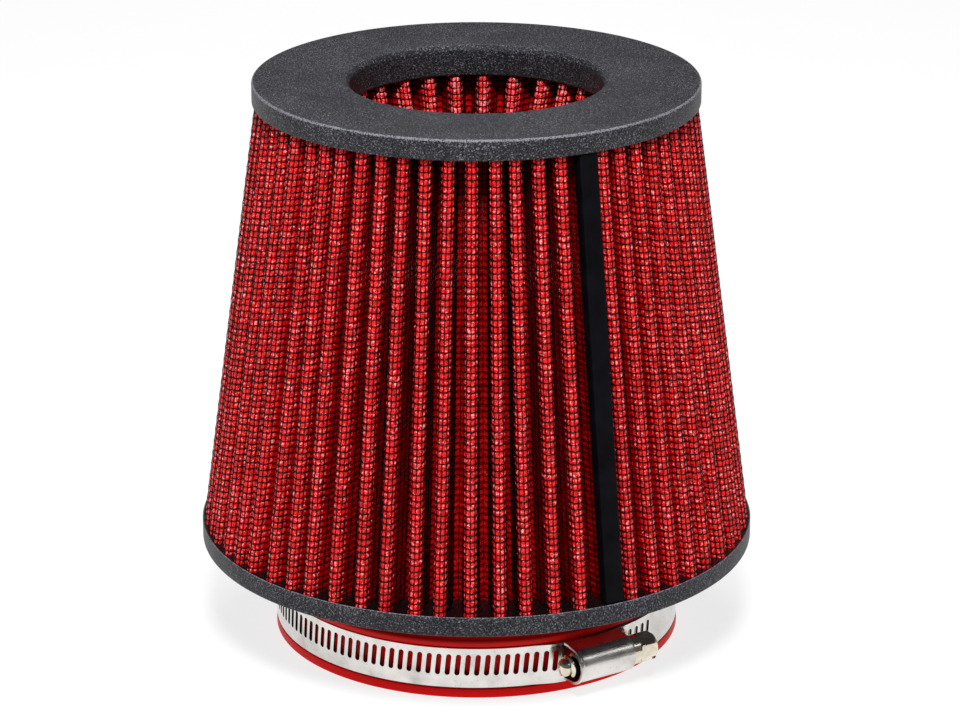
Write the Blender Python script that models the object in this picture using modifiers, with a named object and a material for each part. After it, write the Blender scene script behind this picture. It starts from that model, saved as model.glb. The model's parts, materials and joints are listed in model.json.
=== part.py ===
"""Clamp-on cone air filter, built as separate pieces.

A pleated cotton cone stands between a moulded top ring and a moulded base flange. A second,
smaller pleated cone hangs inside it, point down, below the hole in the top ring. A rubber neck
hangs from the base flange, and a worm-drive clamp goes round it.

The origin is on the filter's axis, at the lower end of the neck. +Z points up. Angles about
the axis are measured from -Y towards +X.
"""

import math

import bmesh
import bpy
from mathutils import Matrix, Vector

MM = 0.001

# Whole filter
TOP_Z = 159.1
BASE_RADIUS = 77.5
FIT_GAP = 0.3

# Top ring
RING_RADIUS = 61.3
RING_UNDERSIDE_Z = 153.3
RING_POTTING_Z = 150.0
RING_POTTING_RADIUS = 46.2
RING_EDGE_RADIUS = 0.6
HOLE_RADIUS = 34.6
HOLE_EDGE_RADIUS = 2.0

# Base flange
FLANGE_TOP_Z = 32.6
FLANGE_BOTTOM_Z = 27.0
FLANGE_EDGE_RADIUS = 0.6

# Pleated layers: half of the gauze thickness, then where each screen starts and ends
GAUZE_HALF = 0.2
SCREEN_NEAR = 0.45
SCREEN_FAR = 0.65

# Outer cone
OUTER_PLEATS = 62
OUTER_TIP_TOP = 60.6
OUTER_TIP_BOTTOM = 76.9
OUTER_DEPTH = 12.5
OUTER_HALF_WIDTH_TOP = 0.95
OUTER_HALF_WIDTH_BOTTOM = 1.15
SEAM_ANGLE = math.radians(28.9)
SEAM_GAP_LEFT = math.radians(7.1)
SEAM_GAP_RIGHT = math.radians(4.8)
SEAM_RECESS = 1.3

# Seam clips
CLIP_THICKNESS = 0.7
CLIP_HALF_WIDTH = 2.7
CLIP_LEG = 3.5

# Inner cone, with its pleat tips towards the axis
INNER_PLEATS = 29
INNER_TIP_TOP = 36.0
INNER_TIP_BOTTOM = 18.5
INNER_DEPTH = 8.0
INNER_HALF_WIDTH = 0.95
INNER_BOTTOM_Z = 88.0
INNER_CLIP_HALF_WIDTH = 1.9
INNER_SEAM_ANGLE = math.radians(0.0)

# End cap of the inner cone
CAP_RADIUS = 28.6
CAP_THICKNESS = 6.5
CAP_EDGE_RADIUS = 1.2

# Rubber neck
NECK_BORE = 51.0
NECK_GROOVE = 55.9
NECK_LIP = 57.1
NECK_LIP_TOP = 56.9
NECK_LIP_Z = 2.6
NECK_BEAD = 57.8
NECK_BEAD_LOW_Z = 15.3
NECK_BEAD_HIGH_Z = 17.5
NECK_WALL = 56.8
NECK_WAIST = 56.0
NECK_FLANGE = 60.5
NECK_TOP_Z = 36.0
NECK_STOP = 49.0
NECK_STOP_Z = 29.0

# Clamp band
BAND_LOW_Z = 2.9
BAND_HIGH_Z = 14.6
BAND_INNER = 56.35
BAND_THICKNESS = 0.6
BAND_LIFT = 0.9
SLOT_PITCH = math.radians(2.70)
SLOT_WIDTH = 1.45
SLOT_HEIGHT = 6.2
SLOT_Z = 9.7
SLOT_LEAN = math.radians(5.8)
SLOT_COUNT = 47
BAND_LAST_SLOT = math.radians(21.9)
TAIL_SLOT_COUNT = 9
TAIL_LAST_SLOT = math.radians(54.9)

# Clamp housing and screw, in a frame at the housing's middle: radial, along the screw, height
HOUSING_ANGLE = math.radians(32.5)
HOUSING_HALF_LENGTH = 8.9
HOUSING_MIDDLE_Z = 9.7
HOUSING_CREST = 67.1
HOUSING_SHOULDER = 62.0
HOUSING_FOOT = 58.3
HOUSING_LEDGE = 60.4
HOUSING_HALF_WIDTH = 5.1
HOUSING_FOOT_HALF_WIDTH = 5.4
HOUSING_THICKNESS = 0.6
SCREW_RADIUS_FROM_AXIS = 62.0
SCREW_SHAFT = 3.3
SCREW_TIP = -12.9
SCREW_COLLAR = 4.2
SCREW_COLLAR_START = 9.25
SCREW_HEX_START = 12.0
SCREW_HEX_END = 17.2
SCREW_HEX_FLATS = 8.0
SCREW_SLOT_WIDTH = 1.3
SCREW_SLOT_DEPTH = 2.2
SCREW_SLOT_TURN = math.radians(30.0)

ROUND_STEPS = 96


def new_collection(name):
    collection = bpy.data.collections.new(name)
    bpy.context.scene.collection.children.link(collection)
    return collection


def clear_scene():
    for old in list(bpy.data.objects):
        bpy.data.objects.remove(old, do_unlink=True)


clear_scene()
PARTS = new_collection("cone_air_filter")
CUTTERS = new_collection("cutters")


def material(name, colour, roughness, metallic=0.0):
    made = bpy.data.materials.new(name)
    made.use_nodes = True
    shader = made.node_tree.nodes["Principled BSDF"]
    shader.inputs["Base Color"].default_value = (*colour, 1.0)
    shader.inputs["Roughness"].default_value = roughness
    shader.inputs["Metallic"].default_value = metallic
    return made


def place(mesh, name, finish, collection=PARTS):
    obj = bpy.data.objects.new(name, mesh)
    if finish is not None:
        obj.data.materials.append(finish)
    collection.objects.link(obj)
    return obj


def round_corner(centre_r, centre_z, radius, start, end, steps=4):
    """Points (radius, height) of a fillet, with its angles in degrees from +R towards +Z."""
    points = []
    for step in range(steps + 1):
        angle = math.radians(start + (end - start) * step / steps)
        points.append((centre_r + radius * math.cos(angle), centre_z + radius * math.sin(angle)))
    return points


def turned(name, profile, finish, steps=ROUND_STEPS, closed=True):
    """A turned solid. The profile, (radius, height) in mm, runs down its outer side."""
    mesh = bpy.data.meshes.new(name)
    points = [(radius * MM, 0.0, height * MM) for radius, height in profile]
    edges = [(i, i + 1) for i in range(len(points) - 1)]
    if closed:
        edges.append((len(points) - 1, 0))
    mesh.from_pydata(points, edges, [])
    obj = place(mesh, name, finish)
    screw = obj.modifiers.new("turn", "SCREW")
    screw.axis = "Z"
    screw.steps = steps
    screw.render_steps = steps
    screw.use_merge_vertices = True
    screw.merge_threshold = 0.00001
    screw.use_smooth_shade = True
    return obj


def polar(radius, angle, height):
    """The point at this radius, angle about the axis and height, in mm, as metres."""
    return Vector((radius * math.sin(angle), -radius * math.cos(angle), height)) * MM


def as_shell(obj, near, far):
    """Thickens an open surface between two distances from it, along its normals."""
    solidify = obj.modifiers.new("thickness", "SOLIDIFY")
    solidify.thickness = (far - near) * MM
    solidify.offset = 2 * far / (far - near) - 1
    solidify.use_even_offset = True
    solidify.use_rim = True
    return obj


def ruled(name, low, high, closed, flip=False):
    """The surface between two rows of points that run the same way round the axis."""
    model = bmesh.new()
    low_row = [model.verts.new(point) for point in low]
    high_row = [model.verts.new(point) for point in high]
    count = len(low)
    for i in range(count if closed else count - 1):
        j = (i + 1) % count
        face = (low_row[i], low_row[j], high_row[j], high_row[i])
        model.faces.new(reversed(face) if flip else face)
    mesh = bpy.data.meshes.new(name)
    model.to_mesh(mesh)
    model.free()
    return mesh


def pleat_row(tips, tip_radius, valley_radius, half_width, height, recess):
    """One edge of a pleated sheet. tips are the pleats' angles, and the first is the seam's."""
    row = []
    for i, tip in enumerate(tips):
        following = tips[i + 1] if i + 1 < len(tips) else tips[0] + math.tau
        valley = (tip + following) / 2
        radius = tip_radius + (recess if i == 0 else 0.0)
        row.append(polar(radius, tip - half_width / tip_radius, height))
        row.append(polar(radius, tip + half_width / tip_radius, height))
        row.append(polar(valley_radius, valley - half_width / valley_radius, height))
        row.append(polar(valley_radius, valley + half_width / valley_radius, height))
    return row


def outer_tips():
    """The pleats' angles: the seam's own, then the others evenly spaced round the rest."""
    others = OUTER_PLEATS - 1
    first = SEAM_ANGLE + SEAM_GAP_RIGHT
    step = (math.tau - SEAM_GAP_LEFT - SEAM_GAP_RIGHT) / (others - 1)
    return [SEAM_ANGLE] + [first + step * i for i in range(others)]


def inner_tips():
    return [INNER_SEAM_ANGLE + math.tau * i / INNER_PLEATS for i in range(INNER_PLEATS)]


def outer_cone(gauze_finish, screen_finish, clip_finish):
    low_z = FLANGE_TOP_Z + FIT_GAP
    high_z = RING_UNDERSIDE_Z - FIT_GAP
    tip_low = OUTER_TIP_BOTTOM - SCREEN_FAR
    tip_high = OUTER_TIP_TOP - SCREEN_FAR
    tips = outer_tips()
    low = pleat_row(tips, tip_low, tip_low - OUTER_DEPTH, OUTER_HALF_WIDTH_BOTTOM, low_z, -SEAM_RECESS)
    high = pleat_row(tips, tip_high, tip_high - OUTER_DEPTH, OUTER_HALF_WIDTH_TOP, high_z, -SEAM_RECESS)
    sheet = ruled("outer_pleats", low, high, closed=True)
    as_shell(place(sheet.copy(), "outer_gauze", gauze_finish), -GAUZE_HALF, GAUZE_HALF)
    as_shell(place(sheet.copy(), "outer_screen", screen_finish), SCREEN_NEAR, SCREEN_FAR)
    as_shell(place(sheet.copy(), "outer_backing_screen", screen_finish), -SCREEN_FAR, -SCREEN_NEAR)
    seam_clip("outer_seam_clip", SEAM_ANGLE, OUTER_TIP_BOTTOM, OUTER_TIP_TOP, low_z, high_z,
              CLIP_HALF_WIDTH, CLIP_LEG, 1.0, clip_finish)


def inner_cone(gauze_finish, screen_finish, clip_finish):
    low_z = INNER_BOTTOM_Z + FIT_GAP
    high_z = RING_POTTING_Z - FIT_GAP
    tip_low = INNER_TIP_BOTTOM + SCREEN_FAR
    tip_high = INNER_TIP_TOP + SCREEN_FAR
    tips = inner_tips()
    low = pleat_row(tips, tip_low, tip_low + INNER_DEPTH, INNER_HALF_WIDTH, low_z, SEAM_RECESS)
    high = pleat_row(tips, tip_high, tip_high + INNER_DEPTH, INNER_HALF_WIDTH, high_z, SEAM_RECESS)
    sheet = ruled("inner_pleats", low, high, closed=True)
    as_shell(place(sheet.copy(), "inner_gauze", gauze_finish), -GAUZE_HALF, GAUZE_HALF)
    as_shell(place(sheet.copy(), "inner_screen", screen_finish), -SCREEN_FAR, -SCREEN_NEAR)
    as_shell(place(sheet.copy(), "inner_backing_screen", screen_finish), SCREEN_NEAR, SCREEN_FAR)
    seam_clip("inner_seam_clip", INNER_SEAM_ANGLE, INNER_TIP_BOTTOM, INNER_TIP_TOP, low_z, high_z,
              INNER_CLIP_HALF_WIDTH, 0.0, -1.0, clip_finish)


def seam_clip(name, angle, radius_low, radius_high, low_z, high_z, half_width, leg, side, finish):
    """A channel over the seam pleat, or a flat strip where it has no leg. side is 1 where its web
    faces out and -1 where it faces the axis."""
    along = Vector((math.cos(angle), math.sin(angle), 0.0)) * half_width * MM

    def row(radius, height):
        web = polar(radius, angle, height)
        foot = polar(radius - side * leg, angle, height)
        channel = [foot - along, web - along, web + along, foot + along]
        return channel if leg else channel[1:3]

    mesh = ruled(name, row(radius_low, low_z), row(radius_high, high_z), closed=False, flip=side < 0)
    as_shell(place(mesh, name, finish), -CLIP_THICKNESS, 0.0)


def top_ring(finish):
    profile = round_corner(HOLE_RADIUS + HOLE_EDGE_RADIUS, TOP_Z - HOLE_EDGE_RADIUS, HOLE_EDGE_RADIUS, 180, 90)
    profile += round_corner(RING_RADIUS - RING_EDGE_RADIUS, TOP_Z - RING_EDGE_RADIUS, RING_EDGE_RADIUS, 90, 0, 2)
    profile += [
        (RING_RADIUS, RING_UNDERSIDE_Z),
        (RING_POTTING_RADIUS, RING_UNDERSIDE_Z),
        (RING_POTTING_RADIUS, RING_POTTING_Z),
        (HOLE_RADIUS, RING_POTTING_Z),
    ]
    turned("top_ring", profile, finish)


def base_flange(finish):
    bore = NECK_WAIST + FIT_GAP
    edge = FLANGE_EDGE_RADIUS
    profile = [(bore, FLANGE_TOP_Z)]
    profile += round_corner(BASE_RADIUS - edge, FLANGE_TOP_Z - edge, edge, 90, 0, 2)
    profile += round_corner(BASE_RADIUS - edge, FLANGE_BOTTOM_Z + edge, edge, 0, -90, 2)
    profile += [(bore, FLANGE_BOTTOM_Z)]
    turned("base_flange", profile, finish)


def inner_end_cap(finish):
    low_z = INNER_BOTTOM_Z - CAP_THICKNESS
    edge = CAP_EDGE_RADIUS
    profile = [(0.0, INNER_BOTTOM_Z), (CAP_RADIUS, INNER_BOTTOM_Z)]
    profile += round_corner(CAP_RADIUS - edge, low_z + edge, edge, 0, -90, 2)
    profile += [(0.0, low_z)]
    turned("inner_end_cap", profile, finish, steps=48, closed=False)


def neck(finish):
    profile = [
        (NECK_STOP, NECK_TOP_Z),
        (NECK_FLANGE, NECK_TOP_Z),
        (NECK_FLANGE, FLANGE_TOP_Z + FIT_GAP),
        (NECK_WAIST, FLANGE_TOP_Z + FIT_GAP),
        (NECK_WAIST, FLANGE_BOTTOM_Z - FIT_GAP),
        (NECK_WALL, FLANGE_BOTTOM_Z - FIT_GAP),
        (NECK_WALL, NECK_BEAD_HIGH_Z + 0.4),
        (NECK_BEAD, NECK_BEAD_HIGH_Z - 0.3),
        (NECK_BEAD, NECK_BEAD_LOW_Z),
        (NECK_GROOVE, NECK_BEAD_LOW_Z),
        (NECK_GROOVE, NECK_LIP_Z),
        (NECK_LIP_TOP, NECK_LIP_Z),
        (NECK_LIP, 0.5),
        (NECK_LIP - 0.5, 0.0),
        (NECK_BORE + 0.8, 0.0),
        (NECK_BORE, 0.8),
        (NECK_BORE, NECK_STOP_Z),
        (NECK_STOP, NECK_STOP_Z),
    ]
    turned("rubber_neck", profile, finish, steps=72)


def slot_cutter(name, angles, radius):
    """Slanted six-sided prisms that run through the band, one for each slot."""
    model = bmesh.new()
    half = Vector((SLOT_WIDTH / 2, SLOT_HEIGHT / 2, 1.6)) * MM
    straight = half.y - half.x
    outline = [(-half.x, -straight), (0.0, -half.y), (half.x, -straight),
               (half.x, straight), (0.0, half.y), (-half.x, straight)]
    lean = Matrix.Rotation(-SLOT_LEAN, 4, "Z")
    for angle in angles:
        along = Vector((math.cos(angle), math.sin(angle), 0.0))
        outward = Vector((math.sin(angle), -math.cos(angle), 0.0))
        up = Vector((0.0, 0.0, 1.0))
        frame = Matrix((along, up, outward)).transposed().to_4x4()
        frame.translation = polar(radius, angle, SLOT_Z)
        low = [model.verts.new(frame @ lean @ Vector((x, y, -half.z))) for x, y in outline]
        high = [model.verts.new(frame @ lean @ Vector((x, y, half.z))) for x, y in outline]
        model.faces.new(low)
        model.faces.new(high)
        for i in range(len(outline)):
            j = (i + 1) % len(outline)
            model.faces.new((low[i], low[j], high[j], high[i]))
    bmesh.ops.recalc_face_normals(model, faces=model.faces)
    mesh = bpy.data.meshes.new(name)
    model.to_mesh(mesh)
    model.free()
    cutter = place(mesh, name, None, CUTTERS)
    cutter.hide_render = True
    cutter.display_type = "WIRE"
    return cutter


def cut(obj, cutter, operation="DIFFERENCE"):
    boolean = obj.modifiers.new(cutter.name, "BOOLEAN")
    boolean.operation = operation
    boolean.object = cutter
    boolean.solver = "EXACT"


def housing_angle(along):
    """The angle about the filter's axis of a place that far along the screw from the housing's middle."""
    return HOUSING_ANGLE + math.atan2(along, BAND_INNER + BAND_LIFT)


def band_strip(name, start, end, radius_at, finish):
    """A curved strip of the band, from one angle to another, with its radius given by a function."""
    steps = max(4, round(math.degrees(end - start) / 3.0))
    angles = [start + (end - start) * i / steps for i in range(steps + 1)]
    low = [polar(radius_at(angle), angle, BAND_LOW_Z) for angle in angles]
    high = [polar(radius_at(angle), angle, BAND_HIGH_Z) for angle in angles]
    mesh = ruled(name, low, high, closed=False)
    return as_shell(place(mesh, name, finish), 0.0, BAND_THICKNESS)


def clamp_band(finish, turning):
    """The fixed end starts under the housing, and the slotted end climbs over it from the other side."""
    fixed_end = housing_angle(-3.0)
    climb_end = housing_angle(-9.6)
    slotted_end = housing_angle(-7.4)
    climb_start = climb_end - math.radians(8.0)

    def radius_at(angle):
        share = (angle - math.tau - climb_start) / (climb_end - climb_start)
        share = min(max(share, 0.0), 1.0)
        return BAND_INNER + BAND_LIFT * share * share * (3 - 2 * share)

    band = band_strip("clamp_band", fixed_end, slotted_end + math.tau, radius_at, finish)
    angles = [BAND_LAST_SLOT - SLOT_PITCH * i for i in range(SLOT_COUNT)]
    cut(band, slot_cutter("band_slots", angles, BAND_INNER + BAND_THICKNESS / 2))
    band.parent = turning


def clamp_tail(finish, turning):
    start = housing_angle(-1.2)
    end = math.radians(57.3)
    tail = band_strip("clamp_tail", start, end, lambda angle: BAND_INNER + BAND_LIFT, finish)
    angles = [TAIL_LAST_SLOT - SLOT_PITCH * i for i in range(TAIL_SLOT_COUNT)]
    cut(tail, slot_cutter("tail_slots", angles, BAND_INNER + BAND_LIFT + BAND_THICKNESS / 2))
    tail.parent = turning


def housing_frame():
    """Local X points away from the filter's axis, Y down and Z along the screw to its head."""
    outward = Vector((math.sin(HOUSING_ANGLE), -math.cos(HOUSING_ANGLE), 0.0))
    along = Vector((math.cos(HOUSING_ANGLE), math.sin(HOUSING_ANGLE), 0.0))
    frame = Matrix((outward, along.cross(outward), along)).transposed().to_4x4()
    frame.translation = polar(SCREW_RADIUS_FROM_AXIS, HOUSING_ANGLE, HOUSING_MIDDLE_Z)
    return frame


def clamp_housing(finish, turning):
    """A bent plate over the screw: a half-round crest between two skirts, each with a small ledge."""
    shoulder = HOUSING_SHOULDER - SCREW_RADIUS_FROM_AXIS
    foot = HOUSING_FOOT - SCREW_RADIUS_FROM_AXIS
    ledge = HOUSING_LEDGE - SCREW_RADIUS_FROM_AXIS
    rise = HOUSING_CREST - HOUSING_SHOULDER
    steps = 14
    outline = [(foot, -HOUSING_FOOT_HALF_WIDTH), (ledge, -HOUSING_FOOT_HALF_WIDTH)]
    for step in range(steps + 1):
        angle = math.pi * (step / steps - 0.5)
        outline.append((shoulder + rise * math.cos(angle), HOUSING_HALF_WIDTH * math.sin(angle)))
    outline.append((ledge, HOUSING_FOOT_HALF_WIDTH))
    outline.append((foot, HOUSING_FOOT_HALF_WIDTH))
    low = [Vector((x, y, -HOUSING_HALF_LENGTH)) * MM for x, y in outline]
    high = [Vector((x, y, HOUSING_HALF_LENGTH)) * MM for x, y in outline]
    mesh = ruled("clamp_housing", low, high, closed=False)
    housing = as_shell(place(mesh, "clamp_housing", finish), -HOUSING_THICKNESS, 0.0)
    housing.parent = turning
    housing.matrix_local = housing_frame()


def clamp_screw(finish):
    """The worm screw, with its tip on local -Z and its slotted hexagon head on +Z."""
    profile = [
        (0.0, SCREW_HEX_START + 0.5),
        (SCREW_COLLAR - 0.6, SCREW_HEX_START + 0.5),
        (SCREW_COLLAR, SCREW_HEX_START - 0.1),
        (SCREW_COLLAR, SCREW_COLLAR_START),
        (SCREW_SHAFT, SCREW_COLLAR_START),
    ]
    dome = 2.4
    for step in range(5):
        angle = math.pi / 2 * step / 4
        profile.append((SCREW_SHAFT * math.cos(angle), SCREW_TIP + dome * (1 - math.sin(angle))))
    profile[-1] = (0.0, SCREW_TIP)
    screw = turned("clamp_screw", profile, finish, steps=24, closed=False)

    hexagon = bmesh.new()
    corner = SCREW_HEX_FLATS / math.sqrt(3) * MM
    length = (SCREW_HEX_END - SCREW_HEX_START) * MM
    bmesh.ops.create_cone(hexagon, cap_ends=True, segments=6, radius1=corner, radius2=corner, depth=length)
    middle = (SCREW_HEX_END + SCREW_HEX_START) / 2 * MM
    bmesh.ops.translate(hexagon, verts=hexagon.verts, vec=(0.0, 0.0, middle))
    head_mesh = bpy.data.meshes.new("screw_head")
    hexagon.to_mesh(head_mesh)
    hexagon.free()

    notch = bmesh.new()
    bmesh.ops.create_cube(notch, size=MM)
    size = (SCREW_HEX_FLATS * 1.5, SCREW_SLOT_WIDTH, SCREW_SLOT_DEPTH * 2)
    bmesh.ops.scale(notch, verts=notch.verts, vec=size)
    bmesh.ops.translate(notch, verts=notch.verts, vec=(0.0, 0.0, SCREW_HEX_END * MM))
    bmesh.ops.transform(notch, matrix=Matrix.Rotation(SCREW_SLOT_TURN, 4, "Z"), verts=notch.verts)
    notch_mesh = bpy.data.meshes.new("screw_slot")
    notch.to_mesh(notch_mesh)
    notch.free()

    frame = housing_frame()
    for mesh, operation in ((head_mesh, "UNION"), (notch_mesh, "DIFFERENCE")):
        cutter = place(mesh, mesh.name, None, CUTTERS)
        cutter.hide_render = True
        cutter.display_type = "WIRE"
        cutter.matrix_world = frame
        cut(screw, cutter, operation)
    screw.matrix_world = frame


def main():
    grey = material("moulded_polyurethane", (0.085, 0.082, 0.088), 0.6)
    red_cotton = material("oiled_cotton", (0.42, 0.02, 0.022), 0.45)
    black_wire = material("coated_wire", (0.02, 0.02, 0.022), 0.4)
    black_clip = material("black_clip", (0.015, 0.015, 0.017), 0.35)
    red_rubber = material("red_rubber", (0.75, 0.012, 0.008), 0.5)
    steel = material("stainless_steel", (0.82, 0.81, 0.79), 0.16, 1.0)
    zinc = material("zinc_plated_steel", (0.78, 0.75, 0.69), 0.2, 1.0)

    turning = bpy.data.objects.new("clamp_axis", None)
    PARTS.objects.link(turning)

    top_ring(grey)
    outer_cone(red_cotton, black_wire, black_clip)
    inner_cone(red_cotton, black_wire, black_clip)
    inner_end_cap(grey)
    base_flange(grey)
    neck(red_rubber)
    clamp_band(steel, turning)
    clamp_tail(steel, turning)
    clamp_housing(steel, turning)
    clamp_screw(zinc)


main()
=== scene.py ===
"""The looks of the cone air filter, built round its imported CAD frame.

Lengths are millimetres until a mesh is made, and metres for the camera and the lights. Angles
about the filter's axis are measured from -Y towards +X, as in the CAD.
"""

import json
import math

import bmesh
import bpy
import numpy as np
from mathutils import Matrix, Vector


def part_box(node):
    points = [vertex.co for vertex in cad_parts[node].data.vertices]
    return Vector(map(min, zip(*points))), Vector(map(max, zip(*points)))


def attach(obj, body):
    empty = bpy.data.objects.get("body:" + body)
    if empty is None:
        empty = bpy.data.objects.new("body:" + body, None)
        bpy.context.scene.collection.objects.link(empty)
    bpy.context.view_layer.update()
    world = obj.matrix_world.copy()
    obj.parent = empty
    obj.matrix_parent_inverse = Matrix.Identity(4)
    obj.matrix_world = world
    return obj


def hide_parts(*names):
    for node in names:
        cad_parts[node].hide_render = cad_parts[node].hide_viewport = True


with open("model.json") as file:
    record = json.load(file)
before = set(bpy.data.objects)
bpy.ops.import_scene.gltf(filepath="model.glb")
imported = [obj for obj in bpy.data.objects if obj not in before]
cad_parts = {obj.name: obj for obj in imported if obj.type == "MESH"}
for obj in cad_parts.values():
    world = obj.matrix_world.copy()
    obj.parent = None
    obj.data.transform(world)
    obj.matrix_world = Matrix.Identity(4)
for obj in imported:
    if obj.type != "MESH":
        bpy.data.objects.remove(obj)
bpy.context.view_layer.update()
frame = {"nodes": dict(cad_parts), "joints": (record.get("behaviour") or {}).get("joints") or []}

MM = 0.001
RANDOM = np.random.default_rng(7)


# ---------------------------------------------------------------- sizes from the frame

def cad_points(node):
    """The node's corners in mm."""
    return np.array([v.co for v in frame["nodes"][node].data.vertices], float) / MM


def radii(points):
    """Distances from the axis."""
    return np.hypot(points[:, 0], points[:, 1])


def height_span(node):
    """The node's lowest and highest z in mm."""
    low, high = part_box(node)
    return low.z / MM, high.z / MM


def radius_near(node, height, reach=1.0):
    """(smallest, largest) distance from the axis of the node's corners near a height."""
    points = cad_points(node)
    near = radii(points[np.abs(points[:, 2] - height) < reach])
    return near.min(), near.max()


RING_UNDER, RING_TOP = height_span("top_ring")
RING_HOLE, RING_RADIUS = radii(cad_points("top_ring")).min(), radii(cad_points("top_ring")).max()
FLANGE_LOW, FLANGE_TOP = height_span("base_flange")
FLANGE_BORE, FLANGE_RADIUS = radii(cad_points("base_flange")).min(), radii(cad_points("base_flange")).max()
OUTER_LOW, OUTER_HIGH = height_span("outer_gauze")
INNER_LOW, INNER_HIGH = height_span("inner_gauze")
NECK_HIGH = height_span("rubber_neck")[1]
BAND_LOW, BAND_HIGH = height_span("clamp_band")
CAP_LOW, CAP_HIGH = height_span("inner_end_cap")
CAP_RADIUS = radii(cad_points("inner_end_cap")).max()


# ---------------------------------------------------------------- meshes

def piece(name, vertices, faces, finish, slot, body, stands_for=(), sharp=None):
    """A mesh object in place, from points in mm, that rides on a body."""
    mesh = bpy.data.meshes.new(name)
    mesh.from_pydata(np.asarray(vertices) * MM, [], faces)
    mesh.update()
    return finished(mesh, name, finish, slot, body, stands_for, sharp)


def finished(mesh, name, finish, slot, body, stands_for=(), sharp=None):
    """The mesh as an object that rides on a body. Edges past sharp degrees stay crisp."""
    mesh.materials.append(finish)
    mesh.shade_smooth()
    if sharp is not None:
        mesh.set_sharp_from_angle(angle=math.radians(sharp))
    obj = bpy.data.objects.new(name, mesh)
    bpy.context.scene.collection.objects.link(obj)
    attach(obj, body)
    if stands_for:
        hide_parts(*stands_for)
    return obj


def polar(radius, angle, height):
    """Points at these radii, angles and heights, as an array with x, y and z last."""
    radius, angle, height = np.broadcast_arrays(radius, angle, height)
    return np.stack([radius * np.sin(angle), -radius * np.cos(angle), height], -1)


def grid_faces(rows, columns, wrap=False, start=0):
    """Quads between the points of a grid stored row by row."""
    across = columns if wrap else columns - 1
    row = np.arange(rows - 1)[:, None] * columns
    column = np.arange(across)[None, :]
    following = (column + 1) % columns
    corners = [row + column, row + following, row + columns + following, row + columns + column]
    return np.stack(corners, -1).reshape(-1, 4) + start


def revolved(profile, segments):
    """(points, faces) of a closed outline (radius, height) turned about the axis.

    The outline runs down its outer side.
    """
    outline = np.array(profile)
    angles = np.arange(segments) * math.tau / segments
    points = polar(outline[:, 0][:, None], angles[None, :], outline[:, 1][:, None])
    count = len(outline)
    ring = np.arange(count)[:, None] * segments
    following_ring = (np.arange(count)[:, None] + 1) % count * segments
    column = np.arange(segments)[None, :]
    following = (column + 1) % segments
    corners = [ring + column, following_ring + column, following_ring + following, ring + following]
    return points.reshape(-1, 3), np.stack(corners, -1).reshape(-1, 4)


def fillet(centre_r, centre_z, radius, start, end, steps):
    """Points (radius, height) on an arc of an outline, from one angle to another in degrees."""
    angles = np.radians(np.linspace(start, end, steps + 1))
    return [(centre_r + radius * math.cos(a), centre_z + radius * math.sin(a)) for a in angles]


def tubes(paths, sides_a, sides_b, radius, sides):
    """(points, faces) of capped tubes along paths (path, point, xyz), with two unit directions across."""
    count, length = paths.shape[:2]
    turn = np.arange(sides) * math.tau / sides
    across = sides_a[:, :, None] * np.cos(turn)[:, None] + sides_b[:, :, None] * np.sin(turn)[:, None]
    points = (paths[:, :, None] + radius * across).reshape(-1, 3)
    one = grid_faces(length, sides, wrap=True)
    starts = (np.arange(count) * length * sides)[:, None, None]
    walls = (one[None] + starts).reshape(-1, 4)
    split = np.concatenate([walls[:, [0, 1, 2]], walls[:, [0, 2, 3]]])
    caps = []
    last = (length - 1) * sides
    for i in range(1, sides - 1):
        caps.append([0, i + 1, i])
        caps.append([last, last + i, last + i + 1])
    caps = (np.array(caps)[None] + starts).reshape(-1, 3)
    return points, np.concatenate([split, caps])


# ---------------------------------------------------------------- materials

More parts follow.
